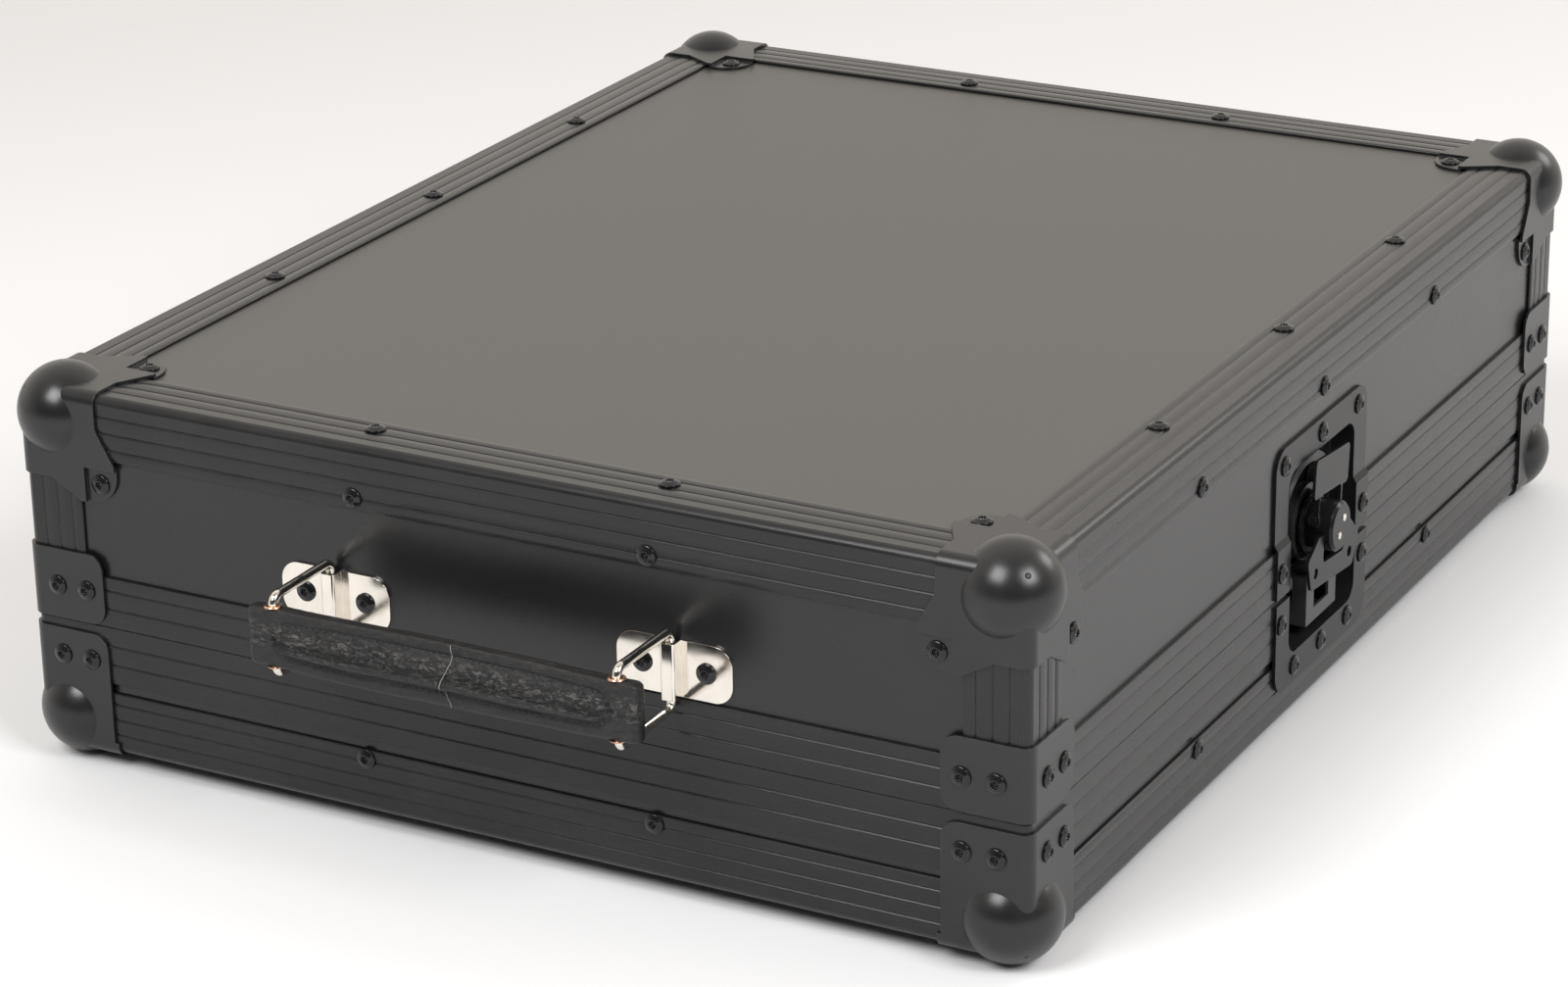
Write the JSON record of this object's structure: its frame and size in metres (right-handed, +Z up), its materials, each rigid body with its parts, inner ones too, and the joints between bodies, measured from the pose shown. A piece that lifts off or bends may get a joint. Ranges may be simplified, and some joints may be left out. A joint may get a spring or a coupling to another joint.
{
  "type": "dj mixer case",
  "caption": "Low rectangular black case with a lift-off lid, grooved edge extrusions, ball corners, two recessed turn latches and a leather front handle.",
  "frame": {"origin": "centre of the bottom panel's underside", "axes": "+Z up, handle on the front at -Y, latches on the left (-X) and right (+X); +Y runs to the back, the longest way of the case"},
  "size_m": [0.5234, 0.6864, 0.19],
  "materials": {
    "extrusion": "satin black anodised",
    "panel": "plywood with a smooth matt black laminate",
    "corner": "satin black powder coat",
    "latch": "satin black powder coat",
    "rivet": "black",
    "plating": "bright nickel plate",
    "leather": "creased black leather",
    "foam": "dark open-cell foam"
  },
  "bodies": {
    "base": {"base_panel": "panel", "base_wall_front": "panel", "base_edge_front": "extrusion", "base_rim_front": "extrusion", "base_wall_back": "panel", "base_edge_back": "extrusion", "base_rim_back": "extrusion", "base_wall_left": "panel", "base_edge_left": "extrusion", "base_rim_left": "extrusion", "base_wall_right": "panel", "base_edge_right": "extrusion", "base_rim_right": "extrusion", "base_corner_front_left": "corner", "base_corner_front_right": "corner", "base_corner_back_left": "corner", "base_corner_back_right": "corner", "base_foam": "foam", "base_rivets": "rivet", "latch_keepers": "latch", "latch_dish_lower_left": "latch", "latch_dish_lower_right": "latch"},
    "lid": {"lid_panel": "panel", "lid_wall_front": "panel", "lid_edge_front": "extrusion", "lid_rim_front": "extrusion", "lid_wall_back": "panel", "lid_edge_back": "extrusion", "lid_rim_back": "extrusion", "lid_wall_left": "panel", "lid_edge_left": "extrusion", "lid_rim_left": "extrusion", "lid_wall_right": "panel", "lid_edge_right": "extrusion", "lid_rim_right": "extrusion", "lid_corner_front_left": "corner", "lid_corner_front_right": "corner", "lid_corner_back_left": "corner", "lid_corner_back_right": "corner", "lid_foam": "foam", "lid_rivets": "rivet", "lid_posts": "extrusion", "lid_braces": "corner", "latch_dish_upper_left": "latch", "handle_plate_left": "plating", "latch_dish_upper_right": "latch", "handle_plate_right": "plating"},
    "latch_turn_left_body": {"latch_spindle_left": "latch", "latch_claw_left": "latch"},
    "wing_upper_left_body": {"latch_wing_upper_left": "latch"},
    "wing_lower_left_body": {"latch_wing_lower_left": "latch"},
    "ring_left_body": {"handle_ring_left": "plating"},
    "latch_turn_right_body": {"latch_spindle_right": "latch", "latch_claw_right": "latch"},
    "wing_upper_right_body": {"latch_wing_upper_right": "latch"},
    "wing_lower_right_body": {"latch_wing_lower_right": "latch"},
    "ring_right_body": {"handle_ring_right": "plating"},
    "grip_body": {"handle_grip": "leather"}
  },
  "joints": [
    {"name": "lid_lift", "type": "slide", "parent": "base", "child": "lid", "axis": [0, 0, 1], "range_m": [0, 0.2]},
    {"name": "latch_turn_left", "type": "hinge", "parent": "lid", "child": "latch_turn_left_body", "pos_m": [-0.251, 0, 0.0812], "axis": [1, 0, 0], "range_deg": [0, 180]},
    {"name": "wing_fold_upper_left", "type": "hinge", "parent": "latch_turn_left_body", "child": "wing_upper_left_body", "pos_m": [-0.2524, 0.00048, 0.08618], "axis": [0, -0.9954, 0.0958], "range_deg": [0, 90]},
    {"name": "wing_fold_lower_left", "type": "hinge", "parent": "latch_turn_left_body", "child": "wing_lower_left_body", "pos_m": [-0.2546, -0.00048, 0.07622], "axis": [0, 0.9954, -0.0958], "range_deg": [0, 90]},
    {"name": "latch_turn_right", "type": "hinge", "parent": "lid", "child": "latch_turn_right_body", "pos_m": [0.251, 0, 0.0812], "axis": [1, 0, 0], "range_deg": [0, 180]},
    {"name": "wing_fold_upper_right", "type": "hinge", "parent": "latch_turn_right_body", "child": "wing_upper_right_body", "pos_m": [0.2524, 0.00048, 0.08618], "axis": [0, 0.9954, -0.0958], "range_deg": [0, 90]},
    {"name": "wing_fold_lower_right", "type": "hinge", "parent": "latch_turn_right_body", "child": "wing_lower_right_body", "pos_m": [0.2546, -0.00048, 0.07622], "axis": [0, -0.9954, 0.0958], "range_deg": [0, 90]},
    {"name": "handle_swing", "type": "hinge", "parent": "lid", "child": "ring_left_body", "pos_m": [-0.08525, -0.3149, 0.0997], "axis": [0, 0, 1], "range_deg": [-70, 70]},
    {"name": "handle_swing_right", "type": "hinge", "parent": "lid", "child": "ring_right_body", "pos_m": [0.08525, -0.3149, 0.0997], "axis": [0, 0, 1], "range_deg": [-70, 70]},
    {"name": "grip_turn", "type": "hinge", "parent": "ring_left_body", "child": "grip_body", "pos_m": [-0.08525, -0.3589, 0.0997], "axis": [0, 0, 1], "range_deg": [-70, 70]}
  ],
  "couplings": [
    {"joint": "wing_fold_lower_left", "follows": "wing_fold_upper_left", "ratio": 1},
    {"joint": "wing_fold_lower_right", "follows": "wing_fold_upper_right", "ratio": 1},
    {"joint": "handle_swing_right", "follows": "handle_swing", "ratio": 1},
    {"joint": "grip_turn", "follows": "handle_swing", "ratio": -1}
  ]
}
